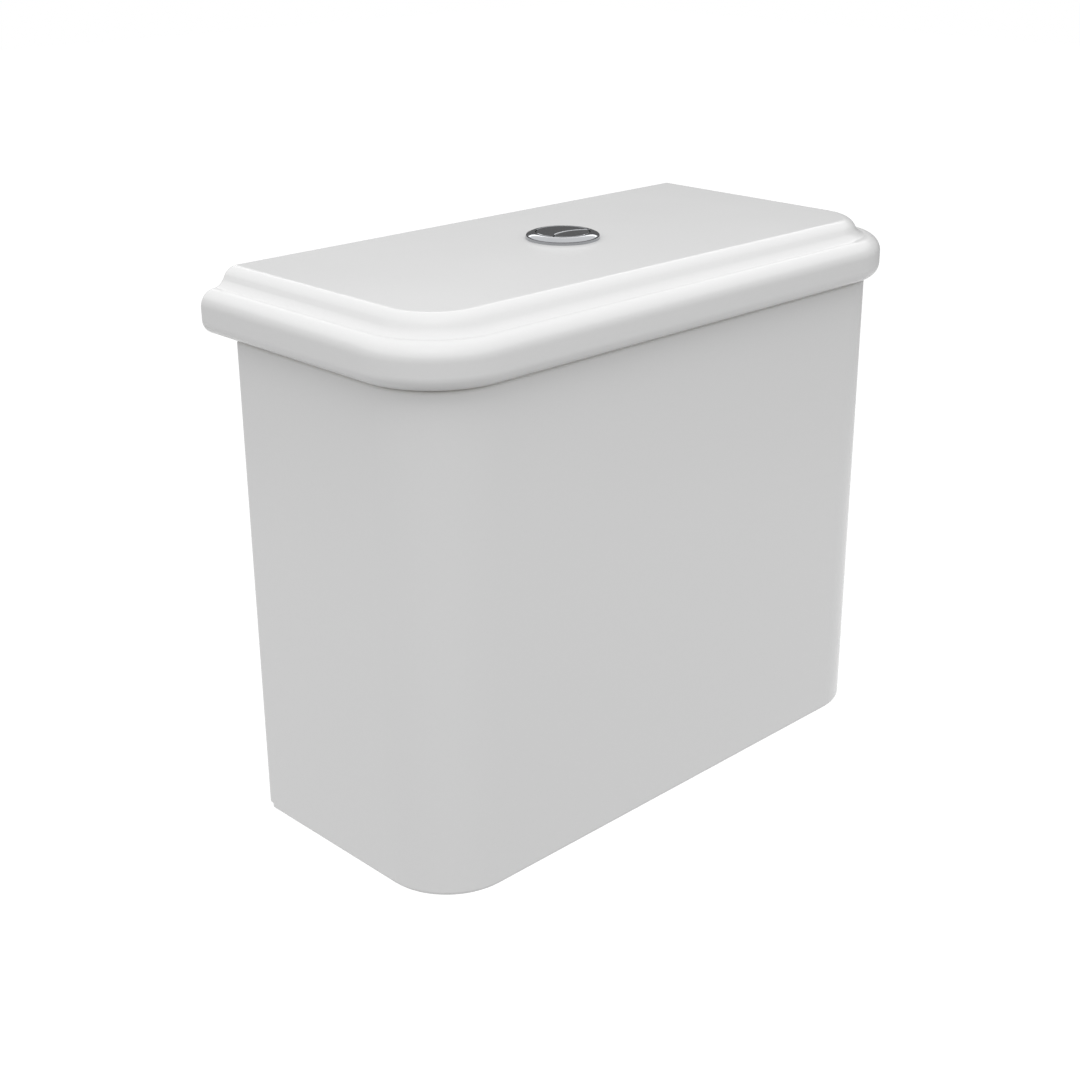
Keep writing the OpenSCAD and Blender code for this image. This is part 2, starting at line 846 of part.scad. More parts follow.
module inlet_filter() {
    low = filter_sink - inlet_tail;
    neck = low + filter_head_t;
    top = neck + filter_len;
    stem_r = inlet_bore_r - filter_gap;
    slot_l = 2 * (stem_r + lap);
    color(blue_plastic) at_inlet(-1) difference() {
        union() {
            rod(inlet_bore_r + filter_step - thread_gap, low, neck);
            rod(stem_r, neck - lap, top);
        }
        rod(stem_r - filter_wall, low - lap, top - filter_wall);
        for (a = [0 : 45 : 135], i = [0, 1]) rotate(a)
            translate([-slot_l / 2, -filter_slot_w / 2, neck + filter_slot_h + i * filter_slot_pitch])
                cube([slot_l, filter_slot_w, filter_slot_h]);
    }
}

module fill_valve_diaphragm() {
    color(rubber) at_inlet(-1) rod(valve_head_r - 2 * edge_step, cap_low, cap_low + diaphragm_t);
}

module fill_valve_cap() {
    nozzle_top = arm_pivot_z - arm_pivot_x * sin(arm_tilt) - nose_r - gap;
    low = cap_low + diaphragm_t;
    color(blue_plastic) at_inlet(-1) {
        rod(valve_head_r - edge_step, low, low + cap_h);
        rod(nozzle_r, low + cap_h - lap, nozzle_top);
        pivot_ears(arm_pivot_x, 0, low + cap_h - lap, arm_pivot_z, arm_w);
    }
}

module float_cup() {
    outer = float_d / 2;
    lug_high = lug_z + lug_h;
    lug_in = outer - lug_root;
    color(blue_plastic) at_inlet(-1) {
        air_cup(riser_r + gap, outer, float_low, float_low + float_h);
        difference() {
            union() {
                translate([link_x, 0, 0]) rod(lug_r, lug_z, lug_high);
                translate([lug_in, -lug_r, lug_z]) cube([link_x - lug_in, 2 * lug_r, lug_h]);
            }
            translate([link_x, 0, 0]) rod(link_r + thread_gap, lug_z - lap, lug_high + lap);
        }
    }
}

module float_link() {
    fork_z = arm_pivot_z - (link_x - arm_pivot_x) * sin(arm_tilt);
    foot = lug_z - link_foot_t;
    color(plastic) at_inlet(-1) translate([link_x, 0, 0]) {
        rod(link_r, foot, fork_z + link_top);
        rod(link_foot_r, foot, lug_z);
        for (low = [fork_z - collar_room - collar_t, fork_z + collar_room])
            rod(collar_r, low, low + collar_t);
    }
}

// The arm is drawn as it lies with the float down
module float_arm() {
    reach = link_x - arm_pivot_x;
    slot = link_r + arm_slot_gap;
    color(blue_plastic) at_inlet(-1) translate([arm_pivot_x, 0, arm_pivot_z]) rotate([0, arm_tilt, 0])
        difference() {
            bar([-arm_pivot_x, 0, reach + slot], [nose_r, lever_boss_r, bar_t / 2], bar_t, arm_w);
            pin_hole(arm_w);
            translate([reach - slot, -slot, -bar_t]) cube([4 * slot, 2 * slot, 2 * bar_t]);
        }
}

module arm_pin() {
    color(steel) at_inlet(-1) pivot_pin(arm_pivot_x, 0, arm_pivot_z, arm_w);
}

// Plug in the spare inlet hole

module blanking_plug() {
    color(plastic) at_inlet(1) {
        rod(plug_flange_r, flange_z, flange_z + plug_flange_t);
        rod(inlet_d / 2, -inlet_nut_h - plug_tail, flange_z + lap);
    }
}

module plug_washer() {
    color(rubber) at_inlet(1)
        ring(plug_flange_r - edge_step, inlet_d / 2 + thread_gap, tank_floor, flange_z);
}

// Bolts to the pan

module at_bolts() {
    for (s = [-1, 1]) translate([s * bolt_spacing / 2, 0, 0]) children();
}

// Each bolt has a thin groove under its nut
module coupling_bolts() {
    seat = tank_floor + cone_t + plate_t;
    r = bolt_d / 2;
    neck_top = bolt_nut_top - bolt_nut_h - neck_room;
    neck_low = neck_top - neck_h;
    color(brass) at_bolts() {
        rotate_extrude() polygon([
            [0, -bolt_reach], [r, -bolt_reach], [r, neck_low], [r - neck_depth, neck_low],
            [r - neck_depth, neck_top], [r, neck_top], [r, seat + lap], [0, seat + lap]
        ]);
        translate([0, 0, seat]) cylinder(d = 2 * bolt_d / cos(30), h = bolt_head_t, $fn = 6);
    }
}

module bolt_head_washers() {
    low = tank_floor + cone_t;
    color(steel) at_bolts() ring(plate_r, bolt_d / 2 + thread_gap, low, low + plate_t);
}

module bolt_cone_washers() {
    low = tank_floor - cone_depth;
    high = tank_floor + cone_t;
    bore = bolt_d / 2 + thread_gap;
    color(rubber) at_bolts() rotate_extrude() polygon([
        [bore, low], [bolt_hole_r - edge_step, low], [bolt_hole_r - gap, tank_floor],
        [plate_r, tank_floor], [plate_r - edge_step, high], [bore, high]
    ]);
}

module bolt_under_seals() {
    color(rubber) at_bolts() ring(plate_r, bolt_d / 2 + thread_gap, -sealing_t, 0);
}

module bolt_under_washers() {
    color(steel) at_bolts() ring(plate_r - edge_step, bolt_d / 2 + thread_gap, bolt_nut_top, -sealing_t);
}

module bolt_nuts() {
    low = bolt_nut_top - bolt_nut_h;
    color(brass) at_bolts() difference() {
        translate([0, 0, low]) cylinder(d = bolt_nut_flats / cos(30), h = bolt_nut_h, $fn = 6);
        rod(bolt_d / 2 + thread_gap, low - lap, bolt_nut_top + lap);
    }
}

tank();
lid_buffers();
lid();
button_housing();
housing_washer();
housing_nut();
full_flush_button();
half_flush_button();
push_rod(full_rod_y);  // full_flush_rod
push_rod(half_rod_y);  // half_flush_rod
button_spring(full_rod_y);  // full_button_spring
button_spring(half_rod_y);  // half_button_spring
valve_base();
valve_washer();
valve_back_nut();
coupling_gasket();
valve_tower();
valve_head();
lift_tube();
main_seal();
seal_clamp();
full_flush_float();
half_flush_float();
lift_yoke();
full_flush_lever();
half_flush_lever();
lever_pins();
fill_valve_body();
fill_valve_washer();
inlet_nut(-1);  // fill_valve_nut
inlet_filter();
fill_valve_diaphragm();
fill_valve_cap();
float_cup();
float_link();
float_arm();
arm_pin();
blanking_plug();
plug_washer();
inlet_nut(1);  // plug_nut
coupling_bolts();
bolt_head_washers();
bolt_cone_washers();
bolt_under_seals();
bolt_under_washers();
bolt_nuts();
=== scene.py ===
import json
import math

import bmesh
import bpy
from mathutils import Matrix, Vector


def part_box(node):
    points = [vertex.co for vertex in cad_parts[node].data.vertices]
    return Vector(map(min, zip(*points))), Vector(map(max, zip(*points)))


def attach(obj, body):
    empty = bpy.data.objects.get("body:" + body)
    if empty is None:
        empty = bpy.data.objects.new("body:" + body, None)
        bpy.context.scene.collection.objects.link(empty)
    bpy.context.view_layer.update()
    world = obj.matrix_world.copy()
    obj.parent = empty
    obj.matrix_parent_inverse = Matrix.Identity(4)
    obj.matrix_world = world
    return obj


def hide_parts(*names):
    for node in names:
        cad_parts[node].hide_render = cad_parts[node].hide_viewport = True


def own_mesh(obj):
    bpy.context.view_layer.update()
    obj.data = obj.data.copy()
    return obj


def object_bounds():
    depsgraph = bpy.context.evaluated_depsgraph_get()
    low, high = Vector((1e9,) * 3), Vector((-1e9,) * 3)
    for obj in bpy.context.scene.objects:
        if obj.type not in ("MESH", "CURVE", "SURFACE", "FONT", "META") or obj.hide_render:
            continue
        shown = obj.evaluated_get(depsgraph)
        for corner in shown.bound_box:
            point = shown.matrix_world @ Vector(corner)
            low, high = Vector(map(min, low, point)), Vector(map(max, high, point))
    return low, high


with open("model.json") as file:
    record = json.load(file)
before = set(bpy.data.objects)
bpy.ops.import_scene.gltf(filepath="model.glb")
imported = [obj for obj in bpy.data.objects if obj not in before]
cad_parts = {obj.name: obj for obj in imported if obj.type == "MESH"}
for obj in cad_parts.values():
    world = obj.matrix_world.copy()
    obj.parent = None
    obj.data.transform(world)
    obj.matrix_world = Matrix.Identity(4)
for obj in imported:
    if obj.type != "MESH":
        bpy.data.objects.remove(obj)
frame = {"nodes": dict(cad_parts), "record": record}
CAD_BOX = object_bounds()

bl_info = {
    "name": "Toilet cistern",
    "version": (1, 0, 0),
    "blender": (4, 5, 0),
    "location": "3D View > Sidebar > Cistern",
    "description": "Dresses a close-coupled toilet cistern, from its glaze to the works inside",
    "category": "Object",
}

RECORD = frame["record"]
BODY = {node: body for body, nodes in RECORD["behaviour"]["bodies"].items() for node in nodes}
SLOT = {part["node"]: part["material_slot"] for part in RECORD["subparts"]}
JOINT = {joint["name"]: joint for joint in RECORD["behaviour"]["joints"]}

MM_IN_M = 1000

# The distances under which two points are one and a point lies on a surface,
# the area that is too small to see, and the angles of flats, of edges to round and of creases
NEAR = 1e-6
ALIGNED = 10 * NEAR
SPECK = 1.5e-7
FLAT = math.radians(0.5)
SHARP = math.radians(35)
CREASE = math.radians(50)

# Steps across a rounded edge
ROUND_STEPS = 3

# No thread on the cistern is wider than this from its axis, and its facets are about so long
WIDEST_THREAD = 0.04
THREAD_STEP = 0.0005
LEAST_FACETS = 24

# A thread's depth, the length over which it runs out and its flats, as shares of its pitch
THREAD_DEPTH = 0.6
THREAD_LEAD = 0.3
ROOT_FLAT = 1 / 4
CREST_FLAT = 1 / 8

# The plain length of a bolt between its thread and its nut
BOLT_NECK = 0.0025

# Sides of the springs' wire, steps in a turn, and the rise of a closed turn in wire diameters
WIRE_SIDES = 12
TURN_STEPS = 32
CLOSED_RISE = 1.04

# Half the floor's side and its cells along it, and the sides of the drape
FLOOR_REACH = 8.0
FLOOR_CELLS = 8
DRAPE_SIDES = 64


class CisternSizes(bpy.types.PropertyGroup):
    """Roundings, threads and springs."""

    ceramic_round: bpy.props.FloatProperty(
        name="Ceramic rounding",
        description="Rounding of the ceramic's cut edges under the glaze",
        default=0.0015,
        unit="LENGTH",
    )
    plastic_round: bpy.props.FloatProperty(
        name="Plastic rounding",
        description="Rounding of the moulded plastic's edges",
        default=0.0004,
        unit="LENGTH",
    )
    metal_round: bpy.props.FloatProperty(
        name="Metal rounding",
        description="Rounding of the metal's edges",
        default=0.00025,
        unit="LENGTH",
    )
    split_round: bpy.props.FloatProperty(
        name="Split rounding",
        description="Rounding of the two buttons along the split between them",
        default=0.001,
        unit="LENGTH",
    )
    bezel_draft: bpy.props.FloatProperty(
        name="Bezel draft",
        description="Lean of the bezel's straight edge towards the button's axis",
        default=math.radians(4),
        subtype="ANGLE",
        unit="ROTATION",
    )
    bezel_round: bpy.props.FloatProperty(
        name="Bezel rounding",
        description="Rounding between the bezel's straight edge and its face",
        default=0.0005,
        unit="LENGTH",
    )
    rubber_round: bpy.props.FloatProperty(
        name="Rubber rounding",
        description="Rounding of the seals' edges",
        default=0.0005,
        unit="LENGTH",
    )
    bolt_pitch: bpy.props.FloatProperty(
        name="Bolt pitch",
        description="Pitch of the thread on the bolts to the pan",
        default=0.00125,
        unit="LENGTH",
    )
    inlet_pitch: bpy.props.FloatProperty(
        name="Inlet pitch",
        description="Pitch of the half-inch thread on the inlet tail and the plug",
        default=0.001814,
        unit="LENGTH",
    )
    barrel_pitch: bpy.props.FloatProperty(
        name="Barrel pitch",
        description="Pitch of the thread on the button's barrel",
        default=0.002,
        unit="LENGTH",
    )
    tail_pitch: bpy.props.FloatProperty(
        name="Tail pitch",
        description="Pitch of the thread on the flush valve's tail",
        default=0.003,
        unit="LENGTH",
    )
    spring_wire: bpy.props.FloatProperty(
        name="Spring wire",
        description="Diameter of the wire of the button springs",
        default=0.001,
        unit="LENGTH",
    )
    spring_turns: bpy.props.IntProperty(
        name="Spring turns",
        description="Open turns of a button spring, between its two closed end turns",
        default=4,
    )


class CisternColours(bpy.types.PropertyGroup):
    """Colours of the finishes."""

    glaze: bpy.props.FloatVectorProperty(
        name="Glaze",
        description="White glaze of the tank and the lid",
        default=(0.79, 0.79, 0.79),
        subtype="COLOR",
    )
    bisque: bpy.props.FloatVectorProperty(
        name="Bisque",
        description="Bare fired clay where the ware stood in the kiln",
        default=(0.66, 0.63, 0.58),
        subtype="COLOR",
    )
    chrome: bpy.props.FloatVectorProperty(
        name="Chrome",
        description="Plated metal of the push button",
        default=(0.52, 0.53, 0.55),
        subtype="COLOR",
    )
    white_plastic: bpy.props.FloatVectorProperty(
        name="White plastic",
        description="Moulded plastic of the valves",
        default=(0.72, 0.72, 0.69),
        subtype="COLOR",
    )
    blue_plastic: bpy.props.FloatVectorProperty(
        name="Blue plastic",
        description="Moulded plastic of the floats and levers",
        default=(0.05, 0.17, 0.42),
        subtype="COLOR",
    )
    rubber: bpy.props.FloatVectorProperty(
        name="Rubber",
        description="Black rubber of the seals",
        default=(0.018, 0.018, 0.019),
        subtype="COLOR",
    )
    steel: bpy.props.FloatVectorProperty(
        name="Steel",
        description="Bright steel of pins, washers and springs",
        default=(0.52, 0.52, 0.53),
        subtype="COLOR",
    )
    brass: bpy.props.FloatVectorProperty(
        name="Brass",
        description="Turned brass of the bolts and nuts",
        default=(0.66, 0.47, 0.18),
        subtype="COLOR",
    )


class CisternStage(bpy.types.PropertyGroup):
    """Camera, light and floor."""

    camera_place: bpy.props.FloatVectorProperty(
        name="Camera",
        description="Place of the camera",
        default=(-0.7480, -0.7523, 0.5769),
        subtype="TRANSLATION",
        unit="LENGTH",
    )
    camera_aim: bpy.props.FloatVectorProperty(
        name="Aim",
        description="Direction in which the camera looks",
        default=(0.6576, 0.6576, -0.3675),
        subtype="DIRECTION",
    )
    lens: bpy.props.FloatProperty(
        name="Lens",
        description="Focal length in millimetres on a 36 mm frame",
        default=56.63,
    )
    shift: bpy.props.FloatVectorProperty(
        name="Shift",
        description="Shift of the frame across and up, in frame widths",
        default=(-0.0256, -0.0140),
        size=2,
    )
    floor_z: bpy.props.FloatProperty(
        name="Floor",
        description="Height of the floor under the cistern",
        default=-0.4,
        unit="LENGTH",
    )
    floor_grey: bpy.props.FloatProperty(
        name="Floor grey",
        description="How much light the floor throws back, where 1 is all of it",
        default=0.32,
    )
    floor_lift: bpy.props.FloatProperty(
        name="Floor lift",
        description="Glow that makes the floor look white to the camera",
        default=0.75,
    )
    ambient: bpy.props.FloatProperty(
        name="Ambient",
        description="Strength of the even light from all round",
        default=0.89,
    )
    key_glow: bpy.props.FloatProperty(
        name="Key",
        description="Brightness of the key softbox's face, where 1 is white",
        default=2.4,
    )
    key_size: bpy.props.FloatProperty(
        name="Key size",
        description="Side of the square key softbox",
        default=2.2,
        unit="LENGTH",
    )
    key_place: bpy.props.FloatVectorProperty(
        name="Key place",
        description="Place of the key softbox, above the camera's side",
        default=(-1.1, -1.1, 3.6),
        subtype="TRANSLATION",
        unit="LENGTH",
    )
    rim_glow: bpy.props.FloatProperty(
        name="Rim",
        description="Brightness of the rim strip's face, where 1 is white",
        default=1.3,
    )
    rim_width: bpy.props.FloatProperty(
        name="Rim width",
        description="Width of the low rim strip",
        default=2.6,
        unit="LENGTH",
    )
    rim_height: bpy.props.FloatProperty(
        name="Rim height",
        description="Height of the low rim strip",
        default=0.3,
        unit="LENGTH",
    )
    rim_place: bpy.props.FloatVectorProperty(
        name="Rim place",
        description="Place of the rim strip, low on the far side",
        default=(1.66, 1.66, 1.47),
        subtype="TRANSLATION",
        unit="LENGTH",
    )
    drape_grey: bpy.props.FloatProperty(
        name="Drape",
        description="Grey of the low drape that only polished surfaces reflect",
        default=0.155,
    )
    drape_top: bpy.props.FloatProperty(
        name="Drape top",
        description="Height of the drape's upper edge above the floor",
        default=2.2,
        unit="LENGTH",
    )
    drape_fade: bpy.props.FloatProperty(
        name="Drape fade",
        description="Height over which the drape turns from the floor's white to its grey",
        default=0.45,
        unit="LENGTH",
    )
    drape_foot: bpy.props.FloatProperty(
        name="Drape foot",
        description="Radius of the drape's lower edge, on the floor",
        default=1.7,
        unit="LENGTH",
    )
    drape_reach: bpy.props.FloatProperty(
        name="Drape reach",
        description="Radius of the drape's upper edge",
        default=3.5,
        unit="LENGTH",
    )


class Wire:
    """A socket in a tree of shader nodes. Sums written on it add Math nodes."""

    def __init__(self, tree, socket=None):
        self.tree = tree
        self.socket = socket

    def add(self, kind, sockets=None, settings=None, output=0):
        """Adds a node with the values or links of its sockets, after its settings are made."""
        node = self.tree.nodes.new(kind)
        for name, value in (settings or {}).items():
            if name == "stops":
                self.set_stops(node.color_ramp, value)
            else:
                setattr(node, name, value)
        for name, value in (sockets or {}).items():
            if isinstance(value, Wire):
                self.tree.links.new(value.socket, node.inputs[name])
            else:
                node.inputs[name].default_value = value
        return Wire(self.tree, node.outputs[output] if node.outputs else None)

    @staticmethod
    def set_stops(ramp, stops):
        """Sets a ramp's stops from pairs of a place and a grey."""
        while len(ramp.elements) < len(stops):
            ramp.elements.new(1.0)
        for element, (place, grey) in zip(ramp.elements, stops):
            element.position = place
            element.color = (grey, grey, grey, 1.0)

    def math(self, operation, first, second):
        """Adds one Math node."""
        return self.add("ShaderNodeMath", {0: first, 1: second}, {"operation": operation})

    def __add__(self, other):
        return self.math("ADD", self, other)

    __radd__ = __add__

    def __sub__(self, other):
        return self.math("SUBTRACT", self, other)

    def __mul__(self, other):
        return self.math("MULTIPLY", self, other)

    def ramp(self, *stops):
        """Spreads a value between stops."""
        return self.add("ShaderNodeValToRGB", {"Fac": self}, {"stops": stops})

    def mixed(self, low, high):
        """A colour between two, by this value."""
        return self.add("ShaderNodeMix", {0: self, 6: low, 7: high}, {"data_type": "RGBA"}, output=2)

    def noise(self, place, scale, detail=2.0):
        """Cloudy noise with so many features in a metre."""
        return self.add("ShaderNodeTexNoise", {"Vector": place, "Scale": scale, "Detail": detail})

    def stretched(self, place, scale):
        """A place with its three axes scaled."""
        return self.add("ShaderNodeMapping", {"Vector": place, "Scale": scale})

    def bump(self, height, distance):
        """A normal bent by a height."""
        return self.add("ShaderNodeBump", {"Height": height, "Distance": distance, "Strength": 1.0})

    def finish(self, **sockets):
        """Ends a material in a Principled surface with these sockets."""
        named = {name.replace("_", " "): value for name, value in sockets.items()}
        surface = self.add("ShaderNodeBsdfPrincipled", named)
        self.add("ShaderNodeOutputMaterial", {"Surface": surface})


def fresh_wire(owner):
    """A wire in the emptied node tree of a material or a world."""
    owner.use_nodes = True
    owner.node_tree.nodes.clear()
    return Wire(owner.node_tree)


def shade(colour, share=1.0):
    """A colour with its alpha, made darker or lighter by a share."""
    return (*(share * part for part in colour), 1.0)


# Finishes, one for each material slot


def glaze(wire, place, colours):
    """White glaze: a fine mottle, faint orange peel, and bare clay where it faces down."""
    facing = wire.add("ShaderNodeTexCoord", output="Normal")
    up = wire.add("ShaderNodeSeparateXYZ", {"Vector": facing}, output="Z")
    drift = wire.noise(place, 9.0)
    mottle = wire.noise(place, 420.0, 4.0)
    speckle = wire.noise(place, 900.0, 4.0)
    bare = (drift * 0.08 - up).ramp((0.93, 0.0), (0.96, 1.0))
    white = mottle.mixed(shade(colours.glaze, 0.99), shade(colours.glaze, 1.01))
    clay = speckle.mixed(shade(colours.bisque, 0.9), shade(colours.bisque, 1.08))
    peel = wire.noise(place, 180.0) * 0.3 + speckle * bare * 2.0
    wire.finish(
        Base_Color=bare.mixed(white, clay),
        Roughness=0.21 + drift * 0.05 + bare * 0.5,
        IOR=1.6,
        Normal=wire.bump(peel, 0.00004),
    )


def chrome(wire, place, colours):
    """Bright plating with faint finger smudges."""
    smudge = wire.noise(place, 70.0, 4.0).ramp((0.45, 0.0), (0.75, 1.0))
    wire.finish(
        Base_Color=smudge.mixed(shade(colours.chrome), shade(colours.chrome, 0.94)),
        Metallic=1.0,
        Roughness=0.06 + smudge * 0.07,
        Normal=wire.bump(wire.noise(place, 240.0), 0.000002),
    )


def moulded(wire, place, colour):
    """Satin moulded plastic: flow streaks, a fine grain and a little grime."""
    flow = wire.noise(wire.stretched(place, (1.0, 1.0, 0.25)), 60.0, 3.0)
    grain = wire.noise(place, 2600.0)
    grime = wire.noise(place, 24.0, 5.0).ramp((0.55, 0.0), (0.85, 1.0))
    tone = flow.mixed(shade(colour, 0.94), shade(colour, 1.05))
    wire.finish(
        Base_Color=(grime * 0.35).mixed(tone, shade(colour, 0.72)),
        Roughness=0.36 + flow * 0.1 + grime * 0.14,
        IOR=1.49,
        Normal=wire.bump(grain + flow * 0.6, 0.00003),
    )


def white_plastic(wire, place, colours):
    """Moulded plastic of the valves."""
    moulded(wire, place, colours.white_plastic)


def blue_plastic(wire, place, colours):
    """Moulded plastic of the floats and levers."""
    moulded(wire, place, colours.blue_plastic)


def rubber(wire, place, colours):
    """Matt rubber with a pale bloom."""
    bloom = wire.noise(place, 55.0, 6.0).ramp((0.4, 0.0), (0.8, 1.0))
    grain = wire.noise(place, 1800.0, 3.0)
    wire.finish(
        Base_Color=(bloom * 0.5).mixed(shade(colours.rubber), shade(colours.rubber, 3.6)),
        Roughness=0.62 + bloom * 0.2 + grain * 0.08,
        IOR=1.52,
        Normal=wire.bump(grain, 0.00006),
    )


def steel(wire, place, colours):
    """Drawn steel with fine streaks round and along."""
    streak = wire.noise(wire.stretched(place, (1.0, 0.06, 1.0)), 1500.0, 3.0)
    dull = wire.noise(place, 90.0, 4.0)
    wire.finish(
        Base_Color=dull.mixed(shade(colours.steel, 0.86), shade(colours.steel, 1.08)),
        Metallic=1.0,
        Roughness=0.28 + streak * 0.14 + dull * 0.08,
        Normal=wire.bump(streak, 0.00001),
    )


def brass(wire, place, colours):
    """Turned brass with fine tool marks and a browner tarnish."""
    marks = wire.noise(wire.stretched(place, (0.05, 0.05, 1.0)), 2200.0)
    tarnish = wire.noise(place, 120.0, 6.0).ramp((0.45, 0.0), (0.75, 1.0))
    brown = (colours.brass[0] * 0.62, colours.brass[1] * 0.52, colours.brass[2] * 0.5)
    wire.finish(
        Base_Color=(tarnish * 0.7).mixed(shade(colours.brass), shade(brown)),
        Metallic=1.0,
        Roughness=0.28 + marks * 0.12 + tarnish * 0.16,
        Normal=wire.bump(marks, 0.00001),
    )


FINISHES = {
    "glazed_ceramic": glaze,
    "chrome": chrome,
    "white_plastic": white_plastic,
    "blue_plastic": blue_plastic,
    "rubber": rubber,
    "steel": steel,
    "brass": brass,
}


def finish_of(slot):
    """The material of a slot, made when it is first asked for."""
    material = bpy.data.materials.get(slot + "_finish")
    if material is None:
        material = bpy.data.materials.new(slot + "_finish")
        wire = fresh_wire(material)
        place = wire.add("ShaderNodeTexCoord", output="Object")
        FINISHES[slot](wire, place, bpy.context.scene.cistern_colours)
    return material


# Shapes


def twice_covered(shape):
    """The area that the triangles of each face cover beyond the face itself."""
    shape.normal_update()
    extra = {face: -face.calc_area() for face in shape.faces}
    for loops in shape.calc_loop_triangles():
        a, b, c = (loop.vert.co for loop in loops)
        extra[loops[0].face] += (b - a).cross(c - a).length / 2
    return extra


def join_flats(shape, edges):
    """Takes out those edges that only divide a flat."""
    bmesh.ops.dissolve_limit(shape, angle_limit=FLAT, verts=shape.verts, edges=edges)


def copy_of(node):
    """A copy of a CAD node with its triangles joined, and its flats made whole where none folds."""
    shape = bmesh.new()
    shape.from_mesh(frame["nodes"][node].data)
    bmesh.ops.remove_doubles(shape, verts=shape.verts, dist=NEAR)
    trial = shape.copy()
    join_flats(trial, trial.edges)
    folded = [
        (face.verts[0].co.copy(), face.normal.copy())
        for face, extra in twice_covered(trial).items()
        if extra > SPECK
    ]
    trial.free()

    def in_a_fold(edge):
        return any(
            all(abs((vert.co - point).dot(normal)) < ALIGNED for vert in edge.verts)
            for point, normal in folded
        )

    join_flats(shape, [edge for edge in shape.edges if not in_a_fold(edge)])
    return shape


def sharp_edges(shape, width, spared=()):
    """The sharp edges with room for a rounding, apart from those at the spared corners."""
    spared = set(spared)
    room = 2 * width

    def has_room(edge):
        least = room * max(room, edge.calc_length())
        return all(face.calc_area() > least for face in edge.link_faces)

    return [
        edge
        for edge in shape.edges
        if edge.is_manifold
        and edge.calc_face_angle() > SHARP
        and not spared.intersection(edge.verts)
        and has_room(edge)
    ]


def chains(edges):
    """Sorts edges into groups that share no corner."""
    waiting = dict.fromkeys(edges)
    found = []
    while waiting:
        chain = [waiting.popitem()[0]]
        for edge in chain:
            for near in (*edge.verts[0].link_edges, *edge.verts[1].link_edges):
                if near in waiting:
                    del waiting[near]
                    chain.append(near)
        found.append(chain)
    return found


def round_chain(shape, width, chain):
    """Rounds the edges of one chain as far as it has room."""
    bmesh.ops.bevel(
        shape,
        geom=chain,
        offset=width,
        offset_type="OFFSET",
        affect="EDGES",
        segments=ROUND_STEPS,
        profile=0.5,
        clamp_overlap=True,
        material=-1,
    )


def round_edges(shape, width, edges):
    """Rounds edges chain by chain, less or not at all where a face would fold over itself."""
    for chain in chains(edges):
        before = sum(twice_covered(shape).values())
        shape.edges.index_update()
        for reach in (width, width / 2, width / 4):
            trial = shape.copy()
            trial.edges.ensure_lookup_table()
            round_chain(trial, reach, [trial.edges[edge.index] for edge in chain])
            grown = sum(twice_covered(trial).values()) - before
            trial.free()
            if grown < width * width:
                round_chain(shape, reach, chain)
                break


def wind(shape, geom, axis, turns, rise, per_turn):
    """Winds geometry round an upright axis while it climbs, and returns its far end."""
    steps = max(1, round(turns * per_turn))
    wound = bmesh.ops.spin(
        shape,
        geom=geom,
        cent=(axis.x, axis.y, 0.0),
        axis=(0.0, 0.0, 1.0),
        dvec=(0.0, 0.0, rise / steps),
        angle=math.tau * turns,
        steps=steps,
    )
    return wound["geom_last"]


def thread_section(shape, axis, crest, root, low, pitch):
    """One pitch of a thread's outline as a line of edges: root, flank, crest and flank."""
    flank = (1 - ROOT_FLAT - CREST_FLAT) / 2
    rise = ROOT_FLAT + flank
    outline = [(root, 0), (root, ROOT_FLAT), (crest, rise), (crest, rise + CREST_FLAT), (root, 1)]
    corners = [
        shape.verts.new((axis.x + reach, axis.y, low + share * pitch)) for reach, share in outline
    ]
    edges = [shape.edges.new(pair) for pair in zip(corners, corners[1:])]
    return corners + edges


def cut_level(shape, verts, level, keep_above):
    """Cuts some geometry off at a level and keeps one side of it."""
    edges = dict.fromkeys(edge for vert in verts for edge in vert.link_edges)
    faces = dict.fromkeys(face for vert in verts for face in vert.link_faces)
    bmesh.ops.bisect_plane(
        shape,
        geom=[*verts, *edges, *faces],
        dist=NEAR,
        plane_co=(0.0, 0.0, level),
        plane_no=(0.0, 0.0, -1.0 if keep_above else 1.0),
        clear_outer=True,
    )


def repeat_up(shape, verts, step, count):
    """Repeats some geometry upwards, a step at a time."""
    faces = dict.fromkeys(face for vert in verts for face in vert.link_faces)
    for i in range(1, count):
        again = bmesh.ops.duplicate(shape, geom=list(faces))["geom"]
        moved = [item for item in again if isinstance(item, bmesh.types.BMVert)]
        bmesh.ops.translate(shape, verts=moved, vec=(0.0, 0.0, i * step))


